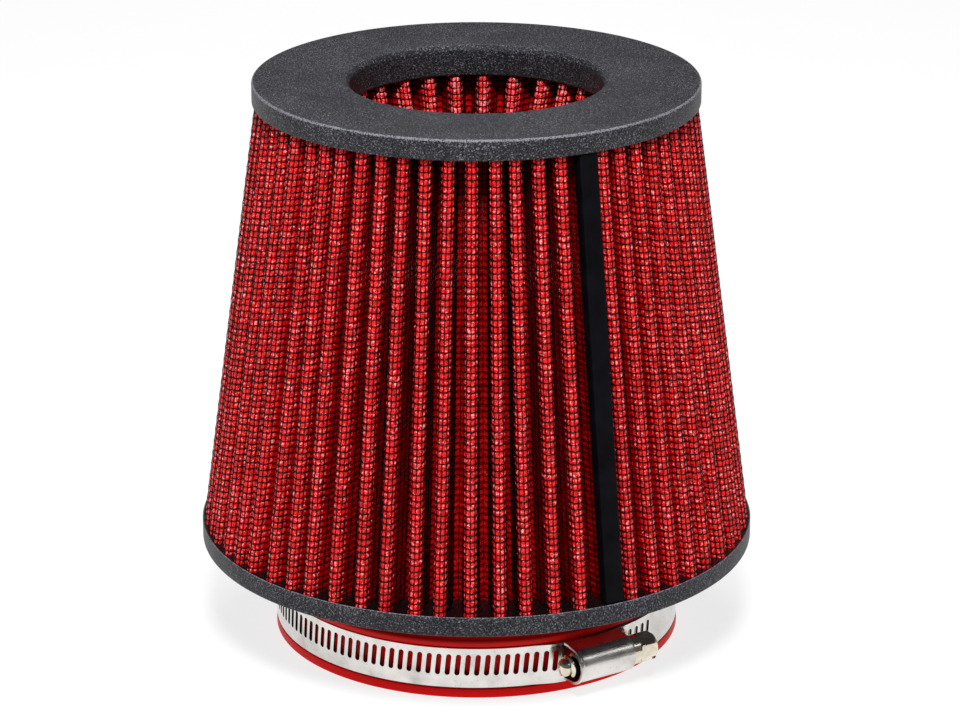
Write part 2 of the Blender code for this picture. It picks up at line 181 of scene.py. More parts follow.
class Nodes:
    """A small helper to write a node material as a few readable lines."""

    def __init__(self, name):
        self.material = bpy.data.materials.new(name)
        self.material.use_nodes = True
        self.tree = self.material.node_tree
        self.shader = self.tree.nodes["Principled BSDF"]
        coordinates = self.tree.nodes.new("ShaderNodeTexCoord")
        self.place = coordinates.outputs["Object"]
        self.facing = coordinates.outputs["Normal"]

    def set(self, **values):
        """Constants on the shader's own sockets."""
        for name, value in values.items():
            self.shader.inputs[name.replace("_", " ")].default_value = value

    def node(self, kind, inputs=None, **settings):
        made = self.tree.nodes.new(kind)
        for name, value in settings.items():
            setattr(made, name, value)
        for name, value in (inputs or {}).items():
            self.feed(made.inputs[name], value)
        return made

    def feed(self, socket, value):
        if isinstance(value, bpy.types.NodeSocket):
            self.tree.links.new(value, socket)
        else:
            socket.default_value = value

    def noise(self, size_mm, detail=2.0, roughness=0.5, place=None, distortion=0.0):
        """Noise of about this grain size."""
        inputs = {"Vector": place or self.place, "Scale": 1.0 / (size_mm * MM), "Detail": detail,
                  "Roughness": roughness, "Distortion": distortion}
        return self.node("ShaderNodeTexNoise", inputs).outputs["Fac"]

    def ramp(self, value, stops):
        made = self.node("ShaderNodeValToRGB", {"Fac": value})
        elements = made.color_ramp.elements
        while len(elements) < len(stops):
            elements.new(0.5)
        for element, (position, colour) in zip(elements, stops):
            element.position = position
            element.color = (*colour, 1.0)
        return made.outputs["Color"]

    def span(self, value, low, high, from_low=0.0, from_high=1.0):
        """The value's range from_low to from_high, stretched to run from low to high and clamped."""
        inputs = {"Value": value, "From Min": from_low, "From Max": from_high,
                  "To Min": low, "To Max": high}
        return self.node("ShaderNodeMapRange", inputs).outputs["Result"]

    def maths(self, operation, *values):
        made = self.node("ShaderNodeMath", operation=operation)
        for i, value in enumerate(values):
            self.feed(made.inputs[i], value)
        return made.outputs["Value"]

    def bump(self, height, distance_mm, strength=1.0, under=None):
        inputs = {"Height": height, "Distance": distance_mm * MM, "Strength": strength}
        if under is not None:
            inputs["Normal"] = under
        return self.node("ShaderNodeBump", inputs).outputs["Normal"]

    def colour(self, socket):
        self.feed(self.shader.inputs["Base Color"], socket)

    def rough(self, socket):
        self.feed(self.shader.inputs["Roughness"], socket)

    def normal(self, socket):
        self.feed(self.shader.inputs["Normal"], socket)


def moulded_grey():
    """Dark grey cast polyurethane: a fine pebbled grain, with a painted highlight along the upper outer
    edge.
    """
    made = Nodes("moulded_polyurethane")
    grain = made.noise(0.55, detail=2.0, roughness=0.6)
    specks = made.noise(0.33, detail=1.0)
    clouds = made.noise(14.0, detail=2.0)
    tone = made.maths("ADD", made.span(grain, -0.4, 0.4, 0.34, 0.66),
                      made.span(clouds, -0.1, 0.1, 0.3, 0.7))
    tone = made.maths("ADD", tone, made.span(specks, -0.7, 0.7, 0.32, 0.68))
    upward = made.node("ShaderNodeSeparateXYZ", {"Vector": made.facing}).outputs["Z"]
    level = made.node("ShaderNodeVectorMath", {0: made.place, 1: (1.0, 1.0, 0.0)}, operation="MULTIPLY")
    radius = made.node("ShaderNodeVectorMath", {0: level.outputs[0]}, operation="LENGTH").outputs["Value"]
    # Painted highlight: a paler band where the outer rim's fillet turns from side to top.
    above_side = made.span(upward, 0.0, 1.0, 0.05, 0.4)
    below_top = made.span(upward, 1.0, 0.0, 0.86, 0.995)
    rounding = made.maths("MULTIPLY", above_side, below_top)
    rim_highlight = made.maths("MULTIPLY", rounding, made.span(radius, 0.0, 1.0, 50.0 * MM, 56.0 * MM))
    tone = made.maths("ADD", tone, rim_highlight)
    made.colour(made.ramp(made.span(tone, 0.0, 1.0, -1.0, 1.0), [
        (0.0, (0.003, 0.003, 0.004)),
        (0.45, (0.0195, 0.0195, 0.0225)),
        (0.7, (0.040, 0.040, 0.046)),
        (1.0, (0.20, 0.20, 0.23)),
    ]))
    made.rough(made.span(specks, 0.34, 0.52))
    fine = made.bump(specks, 0.10, 1.0)
    made.normal(made.bump(grain, 0.15, 1.0, fine))
    made.set(Specular_IOR_Level=0.12)
    return made.material


def oiled_gauze(name, shade, gloss, pillows=False, lift=0.0):
    """Red cotton gauze, wet with filter oil: creased, woven, with a broken gloss.

    Over the tips it has painted shade where a wire presses it in, pillows painted paler, and pale specks of
    painted glint. lift paints the pillows paler still, as painted light; shade scales the whole colour
    down, as painted shade.
    """
    made = Nodes(name)
    crease = made.noise(0.85, detail=4.0, roughness=0.62, distortion=0.8)
    weave = made.noise(0.32, detail=2.0, roughness=0.6)
    patch = made.noise(5.0, detail=2.0)
    tone = made.maths("ADD", made.span(crease, -0.5, 0.5, 0.28, 0.72),
                      made.span(patch, -0.2, 0.2, 0.3, 0.7))
    tone = made.span(tone, 0.0, 0.9, -0.65, 0.65)
    if pillows:
        raised = made.node("ShaderNodeAttribute", attribute_name="raised").outputs["Fac"]
        # Painted shade along the wires and paler pillow middles, raised further by lift as painted light.
        tone = made.maths("ADD", tone, made.span(raised, lift - 0.3, lift + 0.03, 0.0, 0.55))
        # Pale specks of painted glint.
        glint = made.noise(0.75, detail=3.0, roughness=0.7)
        tone = made.maths("ADD", tone, made.span(glint, 0.0, 0.75, 0.53, 0.68))
    reds = [
        (0.0, (0.09, 0.0004, 0.001)),
        (0.3, (0.50, 0.001, 0.002)),
        (0.62, (0.97, 0.004, 0.006)),
        (0.8, (1.0, 0.05, 0.055)),
        (1.0, (1.0, 0.42, 0.43)),
    ]
    made.colour(made.ramp(tone, [(at, tuple(shade * value for value in colour)) for at, colour in reds]))
    made.rough(made.span(weave, 0.16, 0.36, 0.3, 0.7))
    fine = made.bump(weave, 0.14, 0.7)
    made.normal(made.bump(crease, 0.5, 1.0, fine))
    made.set(Specular_IOR_Level=gloss)
    return made.material


def black_wire():
    """Black-coated wire under a little dust."""
    made = Nodes("coated_wire")
    dust = made.noise(1.3, detail=3.0)
    made.colour(made.ramp(dust, [(0.3, (0.0012, 0.0008, 0.001)), (0.7, (0.004, 0.003, 0.0035))]))
    made.rough(made.span(dust, 0.1, 0.28, 0.3, 0.7))
    made.set(Specular_IOR_Level=0.12)
    return made.material


def black_clip():
    """The seam clips' satin black coating, faintly mottled."""
    made = Nodes("black_clip")
    mottle = made.noise(6.0, detail=3.0)
    grain = made.noise(0.5, detail=2.0)
    made.colour(made.ramp(mottle, [(0.3, (0.0022, 0.0022, 0.0032)), (0.7, (0.0045, 0.0045, 0.0062))]))
    made.rough(made.span(mottle, 0.3, 0.42, 0.3, 0.7))
    made.normal(made.bump(grain, 0.03, 0.3))
    made.set(Specular_IOR_Level=0.03)
    return made.material


def red_rubber():
    """Satin red rubber, darkened above the clamp by painted shade under the flange."""
    made = Nodes("red_rubber")
    flow = made.noise(9.0, detail=2.0)
    grain = made.noise(0.45, detail=2.0)
    height = made.node("ShaderNodeSeparateXYZ", {"Vector": made.place}).outputs["Z"]
    # Painted shade: the rubber darkens from 14 to 17 mm up, under the flange.
    shade_under_flange = made.span(height, 0.0, 0.6, 14.0 * MM, 17.0 * MM)
    made.colour(made.ramp(made.maths("ADD", made.span(flow, -0.1, 0.1, 0.3, 0.7), shade_under_flange), [
        (0.0, (0.82, 0.0018, 0.0018)),
        (0.6, (0.46, 0.0050, 0.0040)),
    ]))
    made.rough(made.span(grain, 0.34, 0.5, 0.3, 0.7))
    made.normal(made.bump(grain, 0.02, 0.25))
    made.set(Specular_IOR_Level=0.1)
    return made.material


def stainless(name, roughness, dark):
    """Rolled stainless strip: bright, with faint streaks round the band, darker rougher patches and small
    specks.
    """
    made = Nodes(name)
    stretched = made.node("ShaderNodeMapping", {"Vector": made.place, "Scale": (0.12, 0.12, 3.0)})
    streaks = made.noise(1.2, detail=3.0, place=stretched.outputs["Vector"])
    patches = made.noise(7.0, detail=4.0)
    specks = made.noise(0.6, detail=1.0)
    tone = made.maths("SUBTRACT", patches, made.span(specks, 0.0, 0.25, 0.68, 0.76))
    made.colour(made.ramp(tone, [
        (0.28, (dark, dark * 0.97, dark * 0.92)),
        (0.42, (0.66, 0.64, 0.61)),
        (0.6, (0.76, 0.74, 0.71)),
    ]))
    brushed = made.span(streaks, *roughness, 0.3, 0.7)
    made.rough(made.maths("ADD", brushed, made.span(patches, 0.0, 0.06, 0.4, 0.7)))
    made.normal(made.bump(streaks, 0.008, 0.25))
    made.set(Metallic=1.0)
    return made.material


def slot_wall():
    """The punched slots' walls and the housing's inside: steel painted dark, as painted shade in these
    recesses, and rough.
    """
    made = Nodes("steel_painted_shade")
    shade_mottle = made.noise(0.5, detail=2.0)
    made.colour(made.ramp(shade_mottle, [(0.3, (0.010, 0.009, 0.009)), (0.7, (0.05, 0.045, 0.042))]))
    made.rough(made.span(shade_mottle, 0.45, 0.7))
    made.set(Metallic=1.0)
    return made.material


def zinc():
    """Zinc-plated screw steel, slightly yellow, with a speckled, scuffed head."""
    made = Nodes("zinc_plated_steel")
    speck = made.noise(0.5, detail=3.0)
    patch = made.noise(3.0, detail=2.0)
    made.colour(made.ramp(patch, [(0.3, (0.62, 0.55, 0.42)), (0.7, (0.82, 0.77, 0.66))]))
    made.rough(made.span(speck, 0.07, 0.26, 0.35, 0.7))
    made.normal(made.bump(speck, 0.025, 0.4))
    made.set(Metallic=1.0)
    return made.material


def shaded_potting():
    """Lumpy resin, painted near black: painted shade between the pleats."""
    made = Nodes("potting_painted_shade")
    lumps = made.noise(0.8, detail=3.0)
    made.colour(made.ramp(lumps, [(0.35, (0.002, 0.002, 0.002)), (0.7, (0.008, 0.007, 0.008))]))
    made.rough(made.span(lumps, 0.12, 0.3))
    made.normal(made.bump(lumps, 0.6, 1.0))
    made.set(Specular_IOR_Level=0.3)
    return made.material


GREY = moulded_grey()
GAUZE = oiled_gauze("oiled_cotton", 1.0, 0.3, pillows=True)
# A copy painted paler: painted light on the inner cone's pillows.
LIT_INNER_GAUZE = oiled_gauze("oiled_cotton_inner_painted_light", 1.0, 0.5, pillows=True, lift=0.2)
# A darker copy: painted shade for the flanks, the valleys and the lining.
SHADED_GAUZE = oiled_gauze("oiled_cotton_painted_shade", 0.6, 0.03)
WIRE = black_wire()
CLIP = black_clip()
RUBBER = red_rubber()
STEEL = stainless("stainless_steel", (0.10, 0.20), 0.52)
PRESSED_STEEL = stainless("pressed_stainless", (0.22, 0.34), 0.50)
SLOT_WALL = slot_wall()
ZINC = zinc()
SHADED_POTTING = shaded_potting()


# ---------------------------------------------------------------- pleated cones

OUTER_PLEATS, INNER_PLEATS = 62, 29
OUTER_DEPTH, INNER_DEPTH = 12.5, 8.0
SEAM_RECESS = 1.3          # how far back the pleat under a seam clip stands
TIP_ROUND = 1.65
VALLEY_ROUND = 1.1
ROW_PITCH = 1.729          # from one level wire to the next
COLUMN = 1.45              # from one upright wire to the next, along the pleat's section
WIRE_RADIUS = 0.135
WIRE_SIDES = 3
WEAVE = 0.07               # how far a wire swings to pass another
FINE_COLUMNS = 3           # columns at each side of a tip that have the pillows and the weave
GAUZE_PLACE = -0.30        # each layer's place along the section's normal, from the outer wires
LINING_PLACE = -0.75
BACKING_PLACE = -1.05
PILLOW_HEIGHT = 0.42
PILLOW_STEPS = 3           # mesh steps across each pillow


class PleatedCone:
    """Where a cone's pleats stand, and the section of one pleat.

    A place on a pleat is s, the distance along its section from the middle of its tip, and a share
    of the height. side is 1 where the tips face out and -1 where they face the axis.
    """

    def __init__(self, tips, lean, low, high, tip_low, tip_high, depth, side, seam_recess):
        self.tips = tips
        self.lean = lean
        self.low, self.high = low, high
        self.tip_low, self.tip_high = tip_low, tip_high
        self.depth = depth
        self.side = side
        self.seam_recess = seam_recess
        self.arc = TIP_ROUND * math.pi / 2
        self.flank = depth - TIP_ROUND - VALLEY_ROUND
        self.turn = VALLEY_ROUND * math.pi / 2
        self.half = self.arc + self.flank + self.turn
        self.columns = round(self.half / COLUMN)
        self.column = self.half / self.columns

    def centre(self, index, share):
        """The angle of a tip's middle. Numbers just past either end wrap round the cone."""
        count = len(self.tips)
        around = math.tau * ((index >= count).astype(float) - (index < 0).astype(float))
        wrapped = index % count
        return self.tips[wrapped] + around + self.lean[wrapped] * (share - 0.5)

    def points(self, index, s, share, out=0.0):
        """Points, moved out along the section's normals, and those normals. The arguments broadcast."""
        index, s, share = np.broadcast_arrays(index, s, np.asarray(share, float))
        tip = self.tip_low + (self.tip_high - self.tip_low) * share
        tip = tip - self.side * self.seam_recess * (index % len(self.tips) == 0)
        centre = self.centre(index, share)
        ahead = np.where(s >= 0, 1, -1)
        half_pitch = np.abs(self.centre(index + ahead, share) - centre) / 2
        valley_middle = half_pitch * (tip - self.side * self.depth)
        way = np.abs(s)

        on_arc = np.clip(way, 0, self.arc) / TIP_ROUND
        arc_a, arc_b = TIP_ROUND * np.sin(on_arc), TIP_ROUND * (1 - np.cos(on_arc))
        on_flank = np.clip((way - self.arc) / self.flank, 0, 1)
        flank_a = TIP_ROUND + (valley_middle - VALLEY_ROUND - TIP_ROUND) * on_flank
        flank_b = TIP_ROUND + self.flank * on_flank
        on_turn = np.clip((way - self.arc - self.flank) / VALLEY_ROUND, 0, math.pi / 2)
        turn_a = valley_middle - VALLEY_ROUND * np.cos(on_turn)
        turn_b = self.depth - VALLEY_ROUND + VALLEY_ROUND * np.sin(on_turn)

        in_arc, in_flank = way < self.arc, way < self.arc + self.flank
        a = np.where(in_arc, arc_a, np.where(in_flank, flank_a, turn_a))
        b = np.where(in_arc, arc_b, np.where(in_flank, flank_b, turn_b))
        normal_a = np.where(in_arc, np.sin(on_arc), np.where(in_flank, 1.0, np.cos(on_turn)))
        normal_b = np.where(in_arc, -np.cos(on_arc), np.where(in_flank, 0.0, -np.sin(on_turn)))
        a = (a + out * normal_a) * ahead
        b = b + out * normal_b
        radius = tip - self.side * b
        angle = centre + a / radius
        height = self.low + (self.high - self.low) * share
        normal_a = normal_a * ahead
        outward = -self.side * normal_b
        normal = np.stack([
            normal_a * np.cos(centre) + outward * np.sin(centre),
            normal_a * np.sin(centre) - outward * np.cos(centre),
            np.zeros_like(centre),
        ], -1)
        return polar(radius, angle, height), normal

    def rows(self):
        """The number of mesh cells up the cone."""
        return round((self.high - self.low) / ROW_PITCH)


def sectors(count, parts):
    """Splits the pleats' numbers into runs."""
    edges = np.linspace(0, count, parts + 1).round().astype(int)
    return [np.arange(a, b) for a, b in zip(edges[:-1], edges[1:])]


def level_wires(cone, name, pleats, offset, every, fine, stands_for=()):
    """The wires that run round the cone, in and out of each pleat, woven over fine columns at each tip."""
    rows = np.arange(1, cone.rows(), every)
    shares = rows / cone.rows()
    inside = np.arange(-fine, fine + 0.25, 0.5) * cone.column
    deep = np.linspace(fine * cone.column, cone.half, 6)[1:]
    s = np.concatenate([-deep[::-1], inside, deep])
    steps = len(s)
    index = np.repeat(pleats, steps - 1)
    along = np.tile(s[:-1], len(pleats))
    index = np.append(index, pleats[-1])
    along = np.append(along, s[-1])
    crossing = along / cone.column
    over = np.cos(math.pi * crossing)[None, :] * np.where(rows % 2, 1.0, -1.0)[:, None]
    wave = np.where(np.abs(crossing) <= fine, 1.0, 0.0)[None, :] * over * WEAVE
    paths, normals = cone.points(index[None, :], along[None, :], shares[:, None], offset + wave)
    up = np.broadcast_to(np.array([0.0, 0.0, 1.0]), paths.shape)
    made = tubes(paths, normals, up, WIRE_RADIUS, WIRE_SIDES)
    piece(name, *made, WIRE, "coated_wire", "filter", stands_for)


def upright_wires(cone, name, offset, every, fine, fine_points):
    """The wires that run along the pleats. Those near a tip weave over and under the level wires."""
    count = len(cone.tips)
    columns = np.arange(-cone.columns, cone.columns, every)
    near = np.abs(columns) <= fine
    built = []
    straight = 3
    for chosen, length in ((columns[near], fine_points), (columns[~near & (columns % 2 == 0)], straight)):
        if not len(chosen):
            continue
        index = np.repeat(np.arange(count), len(chosen))[:, None]
        s = np.tile(chosen * cone.column, count)[:, None]
        shares = np.linspace(0.0, 1.0, length)[None, :]
        wave = 0.0
        if length > straight:
            parity = np.where(np.tile(chosen, count) % 2, 1.0, -1.0)[:, None]
            wave = WEAVE * parity * np.cos(math.pi * shares * cone.rows())
        paths, normals = cone.points(index, s, shares, offset + wave)
        run = np.zeros_like(paths)
        run[:, 1:-1] = paths[:, 2:] - paths[:, :-2]
        run[:, 0], run[:, -1] = paths[:, 1] - paths[:, 0], paths[:, -1] - paths[:, -2]
        across = np.cross(run, normals)
        across /= np.linalg.norm(across, axis=-1, keepdims=True)
        built.append(tubes(paths, normals, across, WIRE_RADIUS, WIRE_SIDES))
    points, faces, start = [], [], 0
    for some_points, some_faces in built:
        points.append(some_points)
        faces.append(some_faces + start)
        start += len(some_points)
    piece(name, np.concatenate(points), np.concatenate(faces), WIRE, "coated_wire", "filter")


def gauze_tips(cone, name, pleats, finish, stands_for=()):
    """The gauze over the pleats' tips, pressed out between the wires into small pillows."""
    rows = cone.rows()
    v = np.arange(rows * PILLOW_STEPS + 1) / PILLOW_STEPS
    u = np.arange(-FINE_COLUMNS * PILLOW_STEPS, FINE_COLUMNS * PILLOW_STEPS + 1) / PILLOW_STEPS
    pleat, height, column = np.meshgrid(pleats, v, u, indexing="ij")
    plumpness, unevenness, sideways = 0.55, 0.35, 0.10
    pillow = (np.abs(np.sin(math.pi * height)) * np.abs(np.sin(math.pi * column))) ** plumpness
    lumps = RANDOM.normal(0.0, 1.0, pillow.shape)
    lumps = (lumps + np.roll(lumps, 1, 1) + np.roll(lumps, 1, 2)) / 3
    out = GAUZE_PLACE + PILLOW_HEIGHT * pillow * (1 + unevenness * lumps)
    drift = sideways * pillow * np.roll(lumps, 2, 1)
    s = (column + drift) * cone.column
    share = np.clip((height + 0.5 * drift) / rows, 0.0, 1.0)
    points, _ = cone.points(pleat, s, share, out)
    one = grid_faces(len(v), len(u))
    starts = (np.arange(len(pleats)) * len(v) * len(u))[:, None, None]
    faces = (one[None] + starts).reshape(-1, 4)
    if cone.side < 0:
        faces = faces[:, ::-1]
    made = piece(name, points.reshape(-1, 3), faces, finish, "oiled_cotton", "filter", stands_for)
    # The pillows' height, which the gauze reads for its painted shade and paler pillows.
    raised = made.data.attributes.new("raised", "FLOAT", "POINT")
    raised.data.foreach_set("value", pillow.ravel().astype(np.float32))


def gauze_valleys(cone, name):
    """The gauze down the flanks and across the valleys, one strip from each tip to the next."""
    count = len(cone.tips)
    down_points, up_points = 9, 8
    down = np.linspace(FINE_COLUMNS * cone.column, cone.half, down_points)
    shares = np.linspace(0.0, 1.0, 5)
    index = np.concatenate([np.zeros(down_points, int), np.ones(up_points, int)])
    s = np.concatenate([down, -down[-2::-1]])
    pleat, share, step = np.meshgrid(np.arange(count), shares, np.arange(len(s)), indexing="ij")
    points, _ = cone.points(pleat + index[step], s[step], share, GAUZE_PLACE)
    one = grid_faces(len(shares), len(s))
    starts = (np.arange(count) * len(shares) * len(s))[:, None, None]
    faces = (one[None] + starts).reshape(-1, 4)
    if cone.side < 0:
        faces = faces[:, ::-1]
    # Painted shade: the flanks and valleys take the darker copy of the gauze.
    piece(name, points.reshape(-1, 3), faces, SHADED_GAUZE, "oiled_cotton", "filter")


def gauze_lining(cone, name):
    """The clean side of the gauze: one closed pleated sheet."""
    count = len(cone.tips)
    s = np.concatenate([
        np.linspace(-cone.half, -cone.arc, 5),
        np.linspace(-cone.arc, cone.arc, 7)[1:-1],
        np.linspace(cone.arc, cone.half, 5)[:-1],
    ])
    shares = np.linspace(0, 1, 9)
    share, pleat, step = np.meshgrid(shares, np.arange(count), np.arange(len(s)), indexing="ij")
    points, _ = cone.points(pleat, s[step], share, LINING_PLACE)
    faces = grid_faces(len(shares), count * len(s), wrap=True)
    if cone.side > 0:
        faces = faces[:, ::-1]
    # Painted shade: the lining takes the darker copy of the gauze.
    piece(name, points.reshape(-1, 3), faces, SHADED_GAUZE, "oiled_cotton", "filter")


def seam_angle(node):
    """The angle that the node's middle stands at."""
    middle = cad_points(node).mean(axis=0)
    return math.atan2(middle[0], -middle[1])


def cone_tip(node, height):
    """The screen's outermost radius at one of its ends."""
    return radius_near(node, height)[1]


def uneven(pleats, jitter_degrees, lean_degrees, kept):
    """Each pleat's small error in place and in lean. The kept ones stand true."""
    jitter = RANDOM.normal(0.0, math.radians(jitter_degrees), pleats)
    lean = RANDOM.normal(0.0, math.radians(lean_degrees), pleats)
    jitter[kept] = 0.0
    lean[kept] = 0.0
    return jitter, lean


def outer_cone():
    """The outer cone: gauze, the screen outside it and the backing screen inside it."""
    left_gap, right_gap = math.radians(7.1), math.radians(4.8)
    seam = seam_angle("outer_seam_clip")
    step = (math.tau - left_gap - right_gap) / (OUTER_PLEATS - 2)
    tips = np.concatenate([[seam], seam + right_gap + step * np.arange(OUTER_PLEATS - 1)])
    jitter, lean = uneven(OUTER_PLEATS, 0.33, 0.45, [0, 1, -1])
    cone = PleatedCone(
        tips + jitter, lean, OUTER_LOW - 1.2, OUTER_HIGH + 0.2,
        cone_tip("outer_screen", OUTER_LOW) - 0.1, cone_tip("outer_screen", OUTER_HIGH) - 0.32,
        OUTER_DEPTH, 1, SEAM_RECESS,
    )
    runs = sectors(OUTER_PLEATS, 4)
    for number, run in enumerate(runs, start=1):
        stands_for = ("outer_gauze",) if number == 1 else ()
        gauze_tips(cone, f"outer_gauze_tips_{number}", run, GAUZE, stands_for)
    gauze_valleys(cone, "outer_gauze_valleys")
    gauze_lining(cone, "outer_gauze_lining")
    for number, run in enumerate(runs, start=1):
        stands_for = ("outer_screen",) if number == 1 else ()
        level_wires(cone, f"outer_screen_level_{number}", run, 0.0, 1, 3, stands_for)
    upright_wires(cone, "outer_screen_upright", 0.0, 1, 2, cone.rows() + 1)
    every_pleat = np.arange(OUTER_PLEATS)
    level_wires(cone, "outer_backing_level", every_pleat, BACKING_PLACE, 3, 2, ("outer_backing_screen",))
    upright_wires(cone, "outer_backing_upright", BACKING_PLACE, 2, 0, 3)


def inner_cone():
    """The inverted inner cone, whose tips face the axis: gauze, screen and backing screen."""
    seam = seam_angle("inner_seam_clip")
    every_pleat = np.arange(INNER_PLEATS)
    past_seam = math.radians(2.9) * (every_pleat > 0)
    tips = seam + math.tau * every_pleat / INNER_PLEATS + past_seam
    jitter, lean = uneven(INNER_PLEATS, 0.35, 0.6, [0])
    wire_room = 0.25
    low_tip = radius_near("inner_screen", INNER_LOW)[0] + wire_room
    high_tip = radius_near("inner_screen", INNER_HIGH)[0] + wire_room
    cone = PleatedCone(
        tips + jitter, lean, INNER_LOW - 0.2, INNER_HIGH + 0.2, low_tip, high_tip,
        INNER_DEPTH, -1, SEAM_RECESS,
    )
    # The inner tips take the paler copy of the gauze: painted light.
    gauze_tips(cone, "inner_gauze_tips", every_pleat, LIT_INNER_GAUZE, ("inner_gauze",))
    gauze_valleys(cone, "inner_gauze_valleys")
    gauze_lining(cone, "inner_gauze_lining")
    level_wires(cone, "inner_screen_level", every_pleat, 0.0, 1, 2, ("inner_screen",))
    upright_wires(cone, "inner_screen_upright", 0.0, 1, 2, cone.rows() + 1)
    level_wires(cone, "inner_backing_level", every_pleat, BACKING_PLACE, 1, 2, ("inner_backing_screen",))
    upright_wires(cone, "inner_backing_upright", BACKING_PLACE, 1, 0, 3)


# ---------------------------------------------------------------- seam clips

def clip_section(half_width, leg, thickness, side, rounding):
    """A channel's outline (across, depth), with its outer corners rounded."""
    outer = [(-half_width, leg)]
    for step in range(7):
        angle = math.pi / 2 * step / 6
        outer.append((-half_width + rounding * (1 - math.cos(angle)), rounding * (1 - math.sin(angle))))
    outer += [(-x, y) for x, y in reversed(outer[:-1])] + [(half_width, leg)]
    inner = [(half_width - thickness, leg), (half_width - thickness, thickness),
             (-half_width + thickness, thickness), (-half_width + thickness, leg)]
    return np.array(outer + inner)


def seam_clip(name, node, half_width, leg, thickness, side):
    """A channel up the cone. side is 1 on the outer cone and -1 on the inner one."""
    angle = seam_angle(node)
    low, high = height_span(node)
    section = clip_section(half_width, leg, thickness, side, min(0.5, thickness * 0.9))
    shares = np.linspace(0, 1, 9)[:, None]
    pick = 1 if side > 0 else 0
    radius_low, radius_high = radius_near(node, low)[pick], radius_near(node, high)[pick]
    if side > 0:
        radius_low = math.sqrt(radius_low ** 2 - half_width ** 2)
        radius_high = math.sqrt(radius_high ** 2 - half_width ** 2)
    middle = radius_low + (radius_high - radius_low) * shares
    radial = middle - side * section[None, :, 1]
    across = np.broadcast_to(section[None, :, 0], radial.shape)
    points = np.stack([
        radial * math.sin(angle) + across * math.cos(angle),
        -radial * math.cos(angle) + across * math.sin(angle),
        np.broadcast_to(low + (high - low) * shares, radial.shape),
    ], -1)
    rows, columns = points.shape[:2]
    faces = [list(f) for f in grid_faces(rows, columns, wrap=True)]
    faces.append(list(range(columns))[::-1])
    faces.append([(rows - 1) * columns + i for i in range(columns)])
    if side < 0:
        faces = [f[::-1] for f in faces]
    piece(name, points.reshape(-1, 3), faces, CLIP, "black_clip", "filter", (node,), sharp=40)


# ---------------------------------------------------------------- moulded rings, cap and neck

FINE_TURN = 360            # segments round the largest rings
AXIS_HOLE = 0.02           # radius that a cap is left open at, on the axis

def top_ring():
    """The top ring, rounded at its hole and rim, with a step inside its skirt for the outer pleats."""
    hole_edge, rim_edge, skirt_edge, under_edge, undercut = 2.0, 0.75, 0.3, 0.7, 0.8
    corners = cad_points("top_ring")
    skirt_low = corners[radii(corners) > RING_RADIUS - 0.5][:, 2].min()
    step_radius = radii(corners[corners[:, 2] < RING_UNDER + 0.2]).max()
    profile = fillet(RING_HOLE + hole_edge, RING_TOP - hole_edge, hole_edge, 180, 90, 10)
    profile += fillet(RING_RADIUS - rim_edge, RING_TOP - rim_edge, rim_edge, 90, 0, 6)
    profile += fillet(RING_RADIUS - skirt_edge, skirt_low + skirt_edge, skirt_edge, 0, -90, 3)
    profile += [(step_radius, skirt_low), (step_radius, RING_UNDER)]
    profile += fillet(RING_HOLE + undercut + under_edge, RING_UNDER + under_edge, under_edge, -90, -180, 4)
    points, faces = revolved(profile, FINE_TURN)
    piece("ring_moulding", points, faces, GREY, "moulded_polyurethane", "filter", ("top_ring",), sharp=50)


def base_flange():
    """The base ring, with a raised lip that the pleats stand behind."""
    edge, lip, trough_depth = 0.6, 0.17, 1.4
    trough = FLANGE_TOP - trough_depth
    profile = [(FLANGE_BORE, trough), (FLANGE_RADIUS - 2 * lip, trough)]
    profile += fillet(FLANGE_RADIUS - lip, FLANGE_TOP - lip, lip, 180, 0, 8)
    profile += fillet(FLANGE_RADIUS - edge, FLANGE_LOW + edge, edge, 0, -90, 6)
    profile += [(FLANGE_BORE, FLANGE_LOW)]
    points, faces = revolved(profile, FINE_TURN)
    piece("flange_moulding", points, faces, GREY, "moulded_polyurethane", "filter", ("base_flange",),
          sharp=50)


def end_cap():
    """The inner cone's cap, bevelled above and rounded below, with a shallow dish under it."""
    bevel, edge = 0.4, 1.2
    dish, dish_depth = 16.0, 0.8
    profile = [(AXIS_HOLE, CAP_HIGH), (CAP_RADIUS - bevel, CAP_HIGH), (CAP_RADIUS, CAP_HIGH - bevel)]
    profile += fillet(CAP_RADIUS - edge, CAP_LOW + edge, edge, 0, -90, 5)
    profile += [(dish, CAP_LOW), (dish - dish_depth, CAP_LOW + dish_depth)]
    profile += [(AXIS_HOLE, CAP_LOW + dish_depth)]
    points, faces = revolved(profile, 192)
    piece("end_cap_moulding", points, faces, GREY, "moulded_polyurethane", "filter", ("inner_end_cap",),
          sharp=40)


